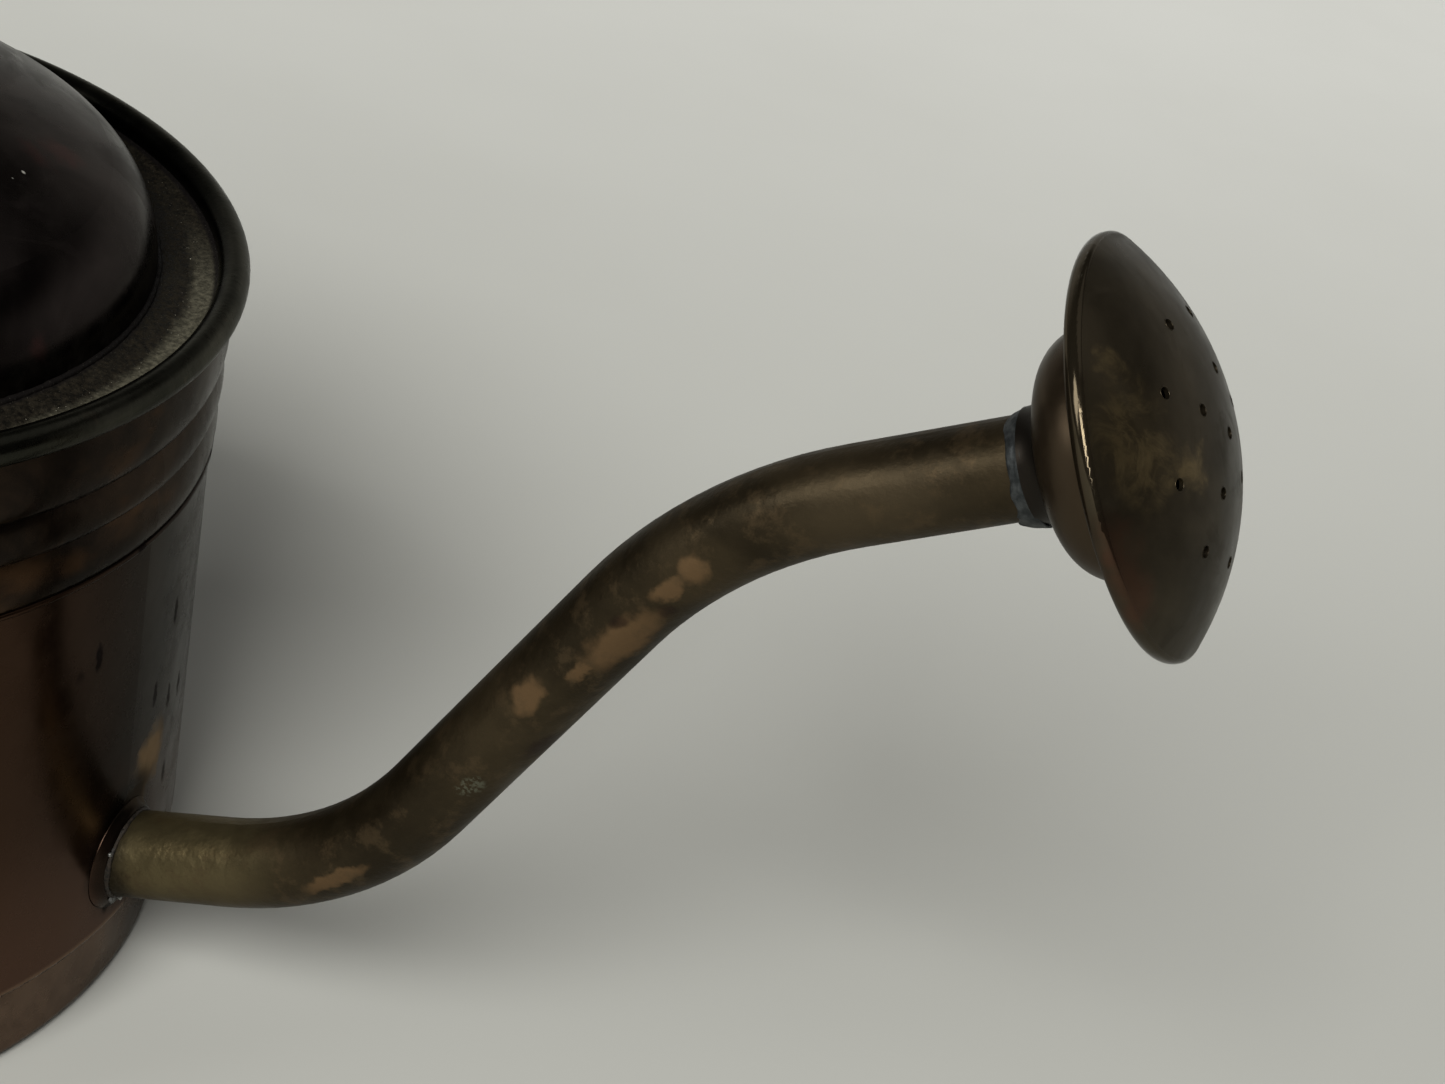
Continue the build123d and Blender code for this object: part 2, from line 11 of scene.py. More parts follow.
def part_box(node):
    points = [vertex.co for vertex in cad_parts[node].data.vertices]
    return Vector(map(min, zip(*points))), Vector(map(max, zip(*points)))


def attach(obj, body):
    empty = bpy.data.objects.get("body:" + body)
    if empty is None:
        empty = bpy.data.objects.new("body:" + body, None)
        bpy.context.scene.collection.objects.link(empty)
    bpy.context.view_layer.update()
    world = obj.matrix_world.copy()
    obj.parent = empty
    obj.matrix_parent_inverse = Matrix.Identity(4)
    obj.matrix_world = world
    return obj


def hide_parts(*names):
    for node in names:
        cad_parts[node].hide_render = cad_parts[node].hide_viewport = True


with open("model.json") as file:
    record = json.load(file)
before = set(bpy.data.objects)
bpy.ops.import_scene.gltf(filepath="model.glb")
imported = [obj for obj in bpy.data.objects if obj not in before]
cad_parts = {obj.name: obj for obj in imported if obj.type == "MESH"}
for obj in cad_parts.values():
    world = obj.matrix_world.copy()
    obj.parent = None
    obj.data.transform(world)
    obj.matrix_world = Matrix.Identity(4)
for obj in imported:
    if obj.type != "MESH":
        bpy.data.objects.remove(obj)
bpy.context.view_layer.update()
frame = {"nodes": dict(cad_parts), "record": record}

MM = 0.001

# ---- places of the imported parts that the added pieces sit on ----
UP = Vector((0, 0, 1))
SIDE = Vector((0, -1, 0))

TUBE_RADIUS = 8.0 * MM
HANDLE_RADIUS = 6.0 * MM

# Rose: its slope, its rim plane past the tube's end, its neck, and the ball that its face is cut from.
ROSE_SLOPE = math.radians(32.0)
ROSE_OFFSET = 11.5 * MM
NECK_LENGTH = 17.0 * MM
FACE_BALL = 48.4 * MM
FACE_RISE = 12.5 * MM
INNER_HOLES_RADIUS = 9.9 * MM
INNER_HOLES_DEGREES = (-34, 46, 126, 206, 276)
OUTER_HOLES_RADIUS = 18.8 * MM
OUTER_HOLES_FIRST = 7
OUTER_HOLES = 9

# Spout's root: its slope and the height at which its axis meets the wall.
ROOT_SLOPE = math.radians(19.8)
ROOT_HEIGHT = 32.3 * MM

# Wall: outside radius and height at the two ends of its taper.
WALL_FOOT_RADIUS, WALL_FOOT_Z = 90.1 * MM, 17.2 * MM
WALL_TOP_RADIUS, WALL_TOP_Z = 86.8 * MM, 99.5 * MM

# Handle: a point on the axis of its front end and the ways in which its two ends run.
HANDLE_FRONT_PLACE = Vector((19.0 * MM, 0, 158.0 * MM))
HANDLE_FRONT_WAY = Vector((8, 0, 82)).normalized()
HANDLE_REAR_WAY = Vector((-34, 0, 8)).normalized()

HOOD_LOW, HOOD_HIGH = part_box("hood")
DECK_TOP = HOOD_LOW.z

ROSE_AXIS = Vector((math.cos(ROSE_SLOPE), 0, math.sin(ROSE_SLOPE)))
ROSE_UP = Vector((-math.sin(ROSE_SLOPE), 0, math.cos(ROSE_SLOPE)))
TUBE_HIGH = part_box("spout_tube")[1]
TUBE_END = Vector((TUBE_HIGH.x, 0, TUBE_HIGH.z)) + Vector((ROSE_UP.x, 0, -ROSE_UP.z)) * TUBE_RADIUS
ROSE_RIM = TUBE_END + ROSE_AXIS * ROSE_OFFSET
NECK_BACK = ROSE_RIM - ROSE_AXIS * NECK_LENGTH

# Tint at grazing angles: patina keeps these metals dark there too.
EDGE_TINT = (0.60, 0.60, 0.59)
NO_TINT = (1.0, 1.0, 1.0)


# ---- node helpers ----
class Finish:
    """A metal or dust finish: a Principled shader and short ways to add the nodes that feed it."""

    def __init__(self, name, metallic=1.0):
        self.material = bpy.data.materials.new(name)
        self.material.use_nodes = True
        self.tree = self.material.node_tree
        self.shader = self.tree.nodes["Principled BSDF"]
        self.shader.inputs["Metallic"].default_value = metallic
        self.place = self.tree.nodes.new("ShaderNodeTexCoord").outputs["Object"]

    def put(self, socket, value):
        if isinstance(value, bpy.types.NodeSocket):
            self.tree.links.new(value, socket)
        elif isinstance(value, tuple) and len(value) == 3 and socket.type == "RGBA":
            socket.default_value = (*value, 1.0)
        else:
            socket.default_value = value

    def math(self, operation, a, b=0.0, clamp=False):
        node = self.tree.nodes.new("ShaderNodeMath")
        node.operation = operation
        node.use_clamp = clamp
        self.put(node.inputs[0], a)
        self.put(node.inputs[1], b)
        return node.outputs[0]

    def stretched(self, scale, turn=(0, 0, 0)):
        """The place, scaled along its own axes, for long or flat marks."""
        node = self.tree.nodes.new("ShaderNodeMapping")
        self.put(node.inputs["Vector"], self.place)
        node.inputs["Scale"].default_value = scale
        node.inputs["Rotation"].default_value = turn
        return node.outputs[0]

    def noise(self, scale, detail=4.0, rough=0.55, distort=0.0, at=None, colour=False):
        node = self.tree.nodes.new("ShaderNodeTexNoise")
        self.put(node.inputs["Vector"], at or self.place)
        self.put(node.inputs["Scale"], scale)
        self.put(node.inputs["Detail"], detail)
        self.put(node.inputs["Roughness"], rough)
        self.put(node.inputs["Distortion"], distort)
        return node.outputs["Color"] if colour else node.outputs[0]

    def cells(self, scale, at=None):
        node = self.tree.nodes.new("ShaderNodeTexVoronoi")
        self.put(node.inputs["Vector"], at or self.place)
        self.put(node.inputs["Scale"], scale)
        return node.outputs["Distance"]

    def between(self, value, low, high, start=0.0, end=1.0):
        """Smooth step of value from low to high, as a number from start to end."""
        node = self.tree.nodes.new("ShaderNodeMapRange")
        node.interpolation_type = "SMOOTHSTEP"
        self.put(node.inputs["Value"], value)
        for name, number in zip(("From Min", "From Max", "To Min", "To Max"), (low, high, start, end)):
            node.inputs[name].default_value = number
        return node.outputs[0]

    def mix(self, share, first, second):
        node = self.tree.nodes.new("ShaderNodeMix")
        node.data_type = "RGBA"
        self.put(node.inputs[0], share)
        self.put(node.inputs[6], first)
        self.put(node.inputs[7], second)
        return node.outputs[2]

    def axis(self, name):
        node = self.tree.nodes.new("ShaderNodeSeparateXYZ")
        self.put(node.inputs[0], self.place)
        return node.outputs[name]

    def off_axis(self):
        """Distance from the can's vertical axis."""
        across = self.math("MULTIPLY", self.axis("X"), self.axis("X"))
        deep = self.math("MULTIPLY", self.axis("Y"), self.axis("Y"))
        return self.math("SQRT", self.math("ADD", across, deep))

    def along_rose(self):
        """Distance along the rose's axis from its rim plane."""
        node = self.tree.nodes.new("ShaderNodeVectorMath")
        node.operation = "DOT_PRODUCT"
        self.put(node.inputs[0], self.place)
        node.inputs[1].default_value = ROSE_AXIS
        return self.math("SUBTRACT", node.outputs["Value"], ROSE_RIM.dot(ROSE_AXIS))

    def spot(self, centre, size, slope, edge=0.25, wobble=0.0, grain=300.0):
        """Mask of one patch: an ellipsoid at centre, its long side sloped, with a ragged edge."""
        at = self.place
        if wobble:
            shift = self.tree.nodes.new("ShaderNodeVectorMath")
            shift.operation = "MULTIPLY_ADD"
            self.put(shift.inputs[0], self.noise(grain, detail=3.0, colour=True))
            shift.inputs[1].default_value = (wobble,) * 3
            centred = self.tree.nodes.new("ShaderNodeVectorMath")
            self.put(centred.inputs[0], self.place)
            centred.inputs[1].default_value = (-wobble / 2,) * 3
            self.put(shift.inputs[2], centred.outputs[0])
            at = shift.outputs[0]
        local = self.tree.nodes.new("ShaderNodeMapping")
        local.vector_type = "TEXTURE"
        self.put(local.inputs["Vector"], at)
        local.inputs["Location"].default_value = centre
        local.inputs["Rotation"].default_value = (0, -slope, 0)
        local.inputs["Scale"].default_value = size
        reach = self.tree.nodes.new("ShaderNodeVectorMath")
        reach.operation = "LENGTH"
        self.put(reach.inputs[0], local.outputs[0])
        return self.between(reach.outputs["Value"], 1 - edge, 1 + edge, 1.0, 0.0)

    def spots(self, places, **options):
        """Mask of several patches, each a (centre, size, slope)."""
        mask = None
        for centre, size, slope in places:
            one = self.spot(centre, size, slope, **options)
            mask = one if mask is None else self.math("MAXIMUM", mask, one)
        return mask

    def times(self, *values):
        product = values[0]
        for value in values[1:]:
            product = self.math("MULTIPLY", product, value)
        return product

    def finish(self, colour, roughness, height=None, depth=0.0001, edge=EDGE_TINT):
        self.put(self.shader.inputs["Base Color"], colour)
        self.put(self.shader.inputs["Roughness"], roughness)
        self.put(self.shader.inputs["Specular Tint"], edge)
        if height is not None:
            bump = self.tree.nodes.new("ShaderNodeBump")
            bump.inputs["Distance"].default_value = depth
            bump.inputs["Strength"].default_value = 1.0
            self.put(bump.inputs["Height"], height)
            self.put(self.shader.inputs["Normal"], bump.outputs[0])
        return self.material


def mm(*numbers):
    return tuple(number * MM for number in numbers)


# ---- finishes ----
def copper(name, deep, warm, gloss=(0.18, 0.34)):
    """Copper under a brown patina: cloudy tone and drifting streaks. Gives finish, colour and roughness."""
    f = Finish(name, metallic=0.94)
    blotches = f.between(f.noise(75, 5, 0.7, 0.8), 0.40, 0.62)
    broad = f.between(f.noise(26, 5, 0.6, 0.6), 0.34, 0.66)
    clouds = f.math("ADD", f.times(broad, 0.6), f.times(blotches, 0.4))
    streaks = f.noise(60, 4, 0.6, 0.3, at=f.stretched((1, 1, 0.25)))
    colour = f.mix(clouds, deep, warm)
    grime = f.times(f.between(streaks, 0.52, 0.7), 0.35)
    colour = f.mix(grime, colour, tuple(0.45 * part for part in deep))
    roughness = f.between(f.noise(90, 5, 0.65), 0.3, 0.72, *gloss)
    return f, colour, roughness


def wall_finish():
    """Brown patina, redder low down and to the left of the spout, greyer to its right."""
    f, colour, roughness = copper("copper_wall", (0.015, 0.012, 0.010), (0.026, 0.019, 0.015))
    left = f.between(f.axis("Y"), 0.012, -0.040)
    colour = f.mix(f.times(left, 0.75), colour, (0.052, 0.026, 0.014))
    warm_low = f.between(f.axis("Z"), 0.060, 0.022)
    colour = f.mix(f.times(warm_low, 0.7), colour, (0.100, 0.054, 0.036))
    # Painted highlight: a pale line along the step near the foot, where the wall bends in.
    painted_foot_highlight = f.between(f.axis("Z"), 0.0195, 0.0182)
    colour = f.mix(f.times(painted_foot_highlight, 0.8), colour, (0.20, 0.13, 0.085))
    chip = mm(3.0, 0.9, 2.6)
    lean = f.stretched((1, 1, 0.40), (0.45, 0, 0))
    specks = f.between(f.cells(115, at=lean), 0.20, 0.12, 0.0, 1.0)
    some = f.between(f.noise(38, 2), 0.47, 0.53)
    specks = f.times(specks, some)
    chips = f.spots(
        (
            (mm(85.5, 22.9, 55.3), chip, 0.0),
            (mm(87.8, 8.3, 62.1), chip, 0.0),
            (mm(86.6, 16.0, 57.0), chip, 0.0),
            (mm(86.3, 15.4, 76.0), chip, 0.0),
            (mm(86.4, -13.3, 82.0), chip, 0.0),
        ),
        edge=0.3,
        wobble=0.002,
        grain=700,
    )
    specks = f.math("MAXIMUM", specks, chips)
    colour = f.mix(f.times(specks, 0.9), colour, (0.006, 0.003, 0.003))
    tan = f.spots(
        (
            (mm(88.5, 8.5, 48.5), mm(5.0, 5.5, 5.5), 0.0),
            (mm(88.8, 5.0, 43.0), mm(4.0, 4.5, 2.4), 0.0),
        ),
        edge=0.5,
        wobble=0.008,
        grain=240,
    )
    colour = f.mix(f.times(tan, 0.8), colour, (0.30, 0.20, 0.105))
    above = f.spot(mm(90, 1, 43.5), mm(5, 9, 5), 0.0, 0.4, 0.005, 200)
    around = f.spot(mm(91, 0, 33.0), mm(5, 11.5, 12), 0.0, 0.25, 0.003, 200)
    soot = f.math("MAXIMUM", f.times(above, 0.9), f.times(around, 0.85))
    colour = f.mix(soot, colour, (0.009, 0.007, 0.005))
    roughness = f.math("ADD", roughness, f.times(tan, 0.3), clamp=True)
    roughness = f.math("ADD", roughness, f.times(specks, 0.25), clamp=True)
    height = f.noise(20, 2, 0.5)
    return f.finish(colour, roughness, height, 0.0008)


def collar_finish():
    """Darker brown, with soft orange patches that run round the ribs; the patches are painted reflections."""
    f, colour, roughness = copper("copper_collar", (0.012, 0.009, 0.007), (0.036, 0.023, 0.015), (0.20, 0.36))
    # Painted reflection: orange bands round the ribs stand in for warm light mirrored in them.
    orange = f.between(f.noise(45, 3, 0.5, at=f.stretched((1, 1, 2.2))), 0.55, 0.72)
    colour = f.mix(f.times(orange, 0.5), colour, (0.085, 0.042, 0.018))
    height = f.noise(40, 3, 0.5)
    return f.finish(colour, roughness, height, 0.0005)


def sheet_finish():
    """Paler copper of the foot and the other plain sheet."""
    f, colour, roughness = copper("copper_sheet", (0.080, 0.052, 0.036), (0.140, 0.092, 0.064), (0.20, 0.38))
    height = f.noise(30, 3, 0.5)
    return f.finish(colour, roughness, height, 0.0008)


def rim_finish():
    """Greenish-black patina, worn paler in spots, with its inner side painted nearly black as shade."""
    f = Finish("dark_rim")
    clouds = f.between(f.noise(55, 5, 0.6), 0.35, 0.7)
    colour = f.mix(clouds, (0.026, 0.026, 0.020), (0.052, 0.050, 0.039))
    worn = f.between(f.noise(130, 3, 0.6), 0.62, 0.72)
    colour = f.mix(f.times(worn, 0.4), colour, (0.070, 0.058, 0.042))
    # Painted shade: the inner side, in the crevice by the hood, is darkened nearly to black.
    painted_inner_shade = f.between(f.off_axis(), 0.0862, 0.0850)
    colour = f.mix(f.times(painted_inner_shade, 0.75), colour, (0.006, 0.006, 0.005))
    roughness = f.between(f.noise(150, 4, 0.6), 0.3, 0.7, 0.24, 0.36)
    height = f.noise(900, 3, 0.6)
    return f.finish(colour, roughness, height, 0.00004)


def deck_finish():
    """Grey-green dust in a band by the rim, over brown speckled metal; the band stops on the far side as
    painted shadow of the hood, and painted shade darkens the rings where the deck meets the hood and the rim.
    """
    f = Finish("dusty_deck", metallic=0.0)
    off = f.off_axis()
    ragged = f.math("ADD", off, f.times(f.math("SUBTRACT", f.noise(240, 4, 0.7), 0.5), 0.004))
    # Dust band by the rim, cut off on the far side where the hood's shadow is painted in.
    rim_dust_cut_by_painted_shadow = f.times(f.between(ragged, 0.0785, 0.0812), f.between(f.axis("Y"), 0.058, 0.026))
    fine = f.between(f.noise(900, 4, 0.75), 0.35, 0.7)
    patchy = f.between(f.noise(120, 5, 0.7, 0.5), 0.45, 0.70)
    bare = f.mix(fine, (0.003, 0.0025, 0.0015), (0.019, 0.015, 0.009))
    dust = f.mix(fine, (0.040, 0.037, 0.025), (0.125, 0.116, 0.082))
    cover = f.math("ADD", f.times(rim_dust_cut_by_painted_shadow, 0.95), f.times(patchy, 0.07), clamp=True)
    colour = f.mix(cover, bare, dust)
    # Painted shade: dark rings where the deck meets the hood's foot and the rim.
    for start, end in ((0.0752, 0.0740), (0.0830, 0.0838)):
        painted_crease_shade = f.between(off, start, end)
        colour = f.mix(f.times(painted_crease_shade, 0.9), colour, (0.004, 0.003, 0.003))
    grains = f.between(f.cells(1700), 0.14, 0.07)
    colour = f.mix(f.times(grains, 0.35), colour, (0.16, 0.15, 0.115))
    roughness = f.between(fine, 0.0, 1.0, 0.6, 0.9)
    f.shader.inputs["Specular IOR Level"].default_value = 0.12
    height = f.noise(1300, 4, 0.7)
    return f.finish(colour, roughness, height, 0.0002, edge=NO_TINT)


def hood_finish():
    """Nearly black, glossy, with faint smears of dust and a few reddish spots."""
    f = Finish("dark_hood")
    clouds = f.between(f.noise(24, 5, 0.6, 0.8), 0.35, 0.68)
    colour = f.mix(clouds, (0.020, 0.016, 0.015), (0.046, 0.037, 0.034))
    red = f.spots(
        (
            (mm(51.5, 20.5, 152.0), mm(3.0, 3.0, 3.0), 0.0),
            (mm(50.5, 14.0, 154.0), mm(4.0, 2.0, 3.0), 0.3),
            (mm(70.7, -16.1, 137.0), mm(3.0, 2.6, 2.4), 0.0),
        ),
        edge=0.6,
        wobble=0.008,
        grain=190,
    )
    colour = f.mix(f.times(red, 0.5), colour, (0.060, 0.026, 0.024))
    low = f.between(f.axis("Z"), 0.1385, 0.1315)
    dust = f.times(low, f.between(f.noise(240, 5, 0.75), 0.30, 0.75))
    colour = f.mix(f.times(dust, 0.45), colour, (0.050, 0.046, 0.035))
    dots = f.spots(
        (
            (mm(52.4, 6.7, 154.2), mm(0.5, 0.4, 1.0), 0.0),
            (mm(52.4, 3.3, 154.4), mm(0.3, 0.3, 0.8), 0.0),
        ),
    )
    colour = f.mix(f.times(dots, 0.9), colour, (0.75, 0.74, 0.68))
    smears = f.between(f.noise(42, 5, 0.65, 1.2), 0.5, 0.62)
    roughness = f.between(f.noise(70, 5, 0.6), 0.3, 0.7, 0.18, 0.30)
    roughness = f.math("ADD", roughness, f.times(smears, 0.08))
    roughness = f.math("ADD", roughness, f.times(dust, 0.3))
    roughness = f.math("ADD", roughness, f.times(dots, 0.5), clamp=True)
    height = f.noise(30, 2, 0.5)
    return f.finish(colour, roughness, height, 0.0006)


def solder_finish(name, dark, pale, gloss):
    """Dull grey, lumpy, darker in its hollows."""
    f = Finish(name, metallic=0.8)
    lumps = f.noise(420, 5, 0.65)
    colour = f.mix(f.between(lumps, 0.35, 0.7), dark, pale)
    stains = f.between(f.noise(260, 3), 0.55, 0.68)
    colour = f.mix(f.times(stains, 0.5), colour, tuple(0.6 * part for part in dark))
    roughness = f.between(f.noise(500, 3), 0.3, 0.7, *gloss)
    return f.finish(colour, roughness, lumps, 0.00012)


def brass_finish():
    """Aged brass tube: brown, with a painted grey-golden highlight by its root and another near its end, and
    worn tan patches.
    """
    f = Finish("brass_tube", metallic=0.82)
    clouds = f.between(f.noise(38, 5, 0.6, 0.4), 0.33, 0.68)
    colour = f.mix(clouds, (0.022, 0.016, 0.008), (0.048, 0.035, 0.018))
    # Painted highlight: grey-golden sheen on the tube's near side, by its root and near its end.
    painted_gold_highlight = f.spots(
        (
            (mm(100, -4, 41.5), mm(19, 14, 10), 0.35),
            (mm(205, -6, 158), mm(15, 8, 6), 0.57),
        ),
        edge=0.6,
        wobble=0.006,
        grain=150,
    )
    low_down = f.between(f.axis("Z"), 0.080, 0.055)
    colour = f.mix(f.times(painted_gold_highlight, 0.35), colour, (0.080, 0.060, 0.035))
    colour = f.mix(f.times(painted_gold_highlight, low_down, 0.8), colour, (0.125, 0.100, 0.048))
    tan = f.spots(
        (
            (mm(159.3, -7.9, 103.0), mm(3.8, 3.0, 2.3), 1.3),
            (mm(166.3, -7.9, 110.9), mm(2.6, 3.0, 1.2), 0.9),
            (mm(172.4, -7.4, 119.3), mm(8.0, 3.0, 3.2), 0.95),
            (mm(180.3, -8.0, 136.6), mm(2.6, 3.0, 2.4), 0.8),
            (mm(177.4, -8.0, 131.6), mm(3.2, 3.0, 1.5), 0.8),
            (mm(133.1, -7.8, 52.0), mm(6.4, 3.0, 1.3), 0.80),
        ),
        edge=0.40,
        wobble=0.0040,
        grain=360,
    )
    colour = f.mix(f.times(tan, 0.62), colour, (0.19, 0.115, 0.055))
    brown = f.spots(
        (
            (mm(163.0, -4.2, 92.4), mm(3.4, 3.0, 2.2), 0.9),
            (mm(178.0, -7.8, 127.0), mm(1.6, 2.0, 1.3), 0.0),
            (mm(171.0, -7.9, 122.5), mm(2.0, 2.0, 1.0), 0.9),
        ),
        edge=0.45,
        wobble=0.002,
    )
    colour = f.mix(f.times(brown, 0.6), colour, (0.016, 0.008, 0.006))
    scale = f.spot(mm(153.1, -7.6, 81.3), mm(2.6, 3.0, 1.7), 0.9, 0.3, 0.0025, 700)
    speckle = f.between(f.noise(1500, 2), 0.42, 0.56)
    colour = f.mix(f.times(scale, speckle, 0.45), colour, (0.17, 0.18, 0.13))
    mottling = f.between(f.noise(170, 5, 0.7), 0.5, 0.66)
    colour = f.mix(f.times(mottling, 0.50), colour, (0.085, 0.058, 0.030))
    soot = f.spot(mm(91, 0, 33), mm(4.0, 14, 14), 0.35, 0.5, 0.004, 260)
    colour = f.mix(f.times(soot, 0.75), colour, (0.010, 0.008, 0.006))
    roughness = f.between(f.noise(110, 5, 0.6), 0.3, 0.7, 0.38, 0.52)
    roughness = f.math("ADD", roughness, f.times(tan, 0.16), clamp=True)
    dents = f.math("ADD", f.noise(600, 4, 0.6), f.times(painted_gold_highlight, low_down, f.noise(210, 3, 0.5), 3.0))
    return f.finish(colour, roughness, dents, 0.00010)


def rose_finish():
    """Dark bronze-brown, satin, with one golden rubbed patch on the face."""
    f = Finish("dark_brass", metallic=0.86)
    clouds = f.between(f.noise(34, 5, 0.6, 0.5), 0.34, 0.68)
    colour = f.mix(clouds, (0.030, 0.024, 0.015), (0.058, 0.046, 0.029))
    behind = f.between(f.along_rose(), -0.0005, -0.0022)
    colour = f.mix(f.times(behind, 0.6), colour, (0.048, 0.031, 0.018))
    on_neck = f.between(f.along_rose(), -0.0124, -0.0134)
    colour = f.mix(f.times(on_neck, 0.85), colour, (0.010, 0.009, 0.008))
    rubbed = f.spots(
        (
            (mm(238.8, -23.0, 189.8), mm(8.0, 6.0, 6.0), -0.9),
            (mm(231.8, -19.2, 197.4), mm(2.8, 2.5, 2.2), 0.0),
            (mm(246.7, -15.5, 185.4), mm(3.4, 3.0, 2.6), 0.0),
        ),
        edge=0.6,
        wobble=0.010,
        grain=210,
    )
    curls = f.between(f.noise(170, 5, 0.65, 1.0), 0.40, 0.66)
    colour = f.mix(f.times(rubbed, curls, 0.8), colour, (0.21, 0.155, 0.075))
    colour = f.mix(f.times(rubbed, 0.40), colour, (0.100, 0.074, 0.038))
    red = f.spots(
        (
            (mm(245.5, -29.4, 171.0), mm(8.0, 3.0, 3.0), -1.1),
            (mm(241.5, -30.6, 177.6), mm(5.0, 3.0, 2.0), -1.1),
        ),
        edge=0.7,
        wobble=0.008,
        grain=160,
    )
    colour = f.mix(f.times(red, 0.6), colour, (0.075, 0.034, 0.020))
    smears = f.between(f.noise(60, 5, 0.65, 1.0), 0.52, 0.62)
    roughness = f.between(f.noise(80, 5, 0.6), 0.3, 0.7, 0.27, 0.40)
    roughness = f.math("ADD", roughness, f.times(smears, 0.08), clamp=True)
    hem = f.times(f.between(f.along_rose(), -0.0022, -0.0018), f.between(f.along_rose(), 0.0012, 0.0006))
    roughness = f.math("MULTIPLY", roughness, f.between(hem, 0.0, 1.0, 1.0, 0.45))
    height = f.noise(45, 3, 0.5)
    return f.finish(colour, roughness, height, 0.0004)


def wire_finish():
    """Grey iron with rust."""
    f = Finish("iron_wire")
    rust = f.between(f.noise(300, 5, 0.7), 0.4, 0.65)
    colour = f.mix(rust, (0.22, 0.21, 0.20), (0.13, 0.06, 0.03))
    roughness = f.between(rust, 0.0, 1.0, 0.4, 0.8)
    return f.finish(colour, roughness, f.noise(900), 0.0001)


def soot_finish():
    """Flux and soot baked into the seam round the spout's root."""
    f = Finish("soot", metallic=0.3)
    tone = f.between(f.noise(700, 4, 0.7), 0.35, 0.7)
    colour = f.mix(tone, (0.006, 0.005, 0.004), (0.030, 0.022, 0.015))
    return f.finish(colour, f.between(tone, 0.0, 1.0, 0.45, 0.75), tone, 0.0001)


def grit_finish():
    """Pale and brown grains of sand."""
    f = Finish("grit", metallic=0.0)
    tone = f.between(f.noise(1400, 2), 0.35, 0.65)
    colour = f.mix(tone, (0.05, 0.042, 0.028), (0.30, 0.28, 0.22))
    return f.finish(colour, f.between(tone, 0.0, 1.0, 0.5, 0.8))


def floor_finish():
    """Plain pale surface, painted paler far from the camera to stand in for how the light spreads."""
    f = Finish("floor", metallic=0.0)
    # Painted light: the floor grows paler away from the camera instead of being lit that way.
    away = f.math("SUBTRACT", f.axis("Y"), f.times(f.axis("X"), 0.12))
    colour = f.mix(f.between(away, 0.06, 1.0), (0.54, 0.545, 0.51), (0.93, 0.94, 0.90))
    faint = f.between(f.noise(5, 4, 0.6), 0.3, 0.75)
    colour = f.mix(f.times(faint, 0.10), colour, (0.50, 0.495, 0.445))
    f.shader.inputs["Specular IOR Level"].default_value = 0.25
    return f.finish(colour, 0.55, edge=NO_TINT)


FINISHES = {
    "copper_wall": wall_finish(),
    "copper_collar": collar_finish(),
    "copper_sheet": sheet_finish(),
    "dark_rim": rim_finish(),
    "dusty_deck": deck_finish(),
    "dark_hood": hood_finish(),
    "solder": solder_finish("solder", (0.026, 0.029, 0.030), (0.076, 0.082, 0.083), (0.42, 0.60)),
    "brass_tube": brass_finish(),
    "dark_brass": rose_finish(),
    "iron_wire": wire_finish(),
    "bright_solder": solder_finish("bright_solder", (0.12, 0.12, 0.115), (0.34, 0.34, 0.32), (0.28, 0.42)),
    "soot": soot_finish(),
    "grit": grit_finish(),
}


def dress_cad_nodes():
    """Gives each carried-over CAD node the finish of its slot in the record."""
    for part in frame["record"]["subparts"]:
        node = frame["nodes"][part["node"]]
        material = FINISHES[part["material_slot"]]
        if not node.material_slots:
            node.data.materials.append(material)
        for place in node.material_slots:
            place.material = material


# ---- mesh helpers ----
def piece(name, points, faces, slot, finish=None):
    """A new smooth mesh piece that rides on the can. Its finish is its slot's, unless another is named."""
    mesh = bpy.data.meshes.new(name)
    mesh.from_pydata(points, [], faces)
    mesh.validate()
    mesh.polygons.foreach_set("use_smooth", [True] * len(mesh.polygons))
    mesh.materials.append(FINISHES[finish or slot])
    thing = bpy.data.objects.new(name, mesh)
    bpy.context.scene.collection.objects.link(thing)
    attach(thing, "root")
    return thing


def turns(steps):
    """Angles at equal steps once round."""
    return [2 * math.pi * step / steps for step in range(steps)]


def section(centre, one, two, sides=8):
    """Points of an ellipse round a centre, with its half axes one and two."""
    return [centre + one * math.cos(angle) + two * math.sin(angle) for angle in turns(sides)]


def loft(rings, closed=False):
    """Quads between rings of equally many points, each ring closed; the ends are capped or joined."""
    points = [tuple(point) for ring in rings for point in ring]
    count = len(rings[0])
    faces = []
    last = len(rings) if closed else len(rings) - 1
    for row in range(last):
        here = row * count
        there = (row + 1) % len(rings) * count
        for col in range(count):
            after = (col + 1) % count
            faces.append((here + col, here + after, there + after, there + col))
    if not closed:
        faces.append(tuple(range(count))[::-1])
        faces.append(tuple(range((len(rings) - 1) * count, len(rings) * count)))
    return points, faces


def ripple(point, scale, seed):
    """Smooth noise from -1 to 1 at a point."""
    return noise.noise(Vector(point) * scale + Vector((seed, seed * 1.7, -seed)))


def icosphere(subdivisions):
    """Points and faces of a unit ball."""
    shape = bmesh.new()
    bmesh.ops.create_icosphere(shape, subdivisions=subdivisions, radius=1.0)
    points = [vertex.co.copy() for vertex in shape.verts]
    faces = [tuple(vertex.index for vertex in face.verts) for face in shape.faces]
    shape.free()
    return points, faces


def add_lump(points, faces, ball, centre, size, turn, seed, bumps=0.25):
    """Adds one uneven lump, a distorted ball, to lists of points and faces."""
    start = len(points)
    for unit in ball[0]:
        swell = 1 + bumps * ripple(unit, 1.4, seed)
        local = Vector((unit.x * size[0], unit.y * size[1], unit.z * size[2])) * swell
        points.append(tuple(centre + turn @ local))
    faces.extend(tuple(start + index for index in face) for face in ball[1])


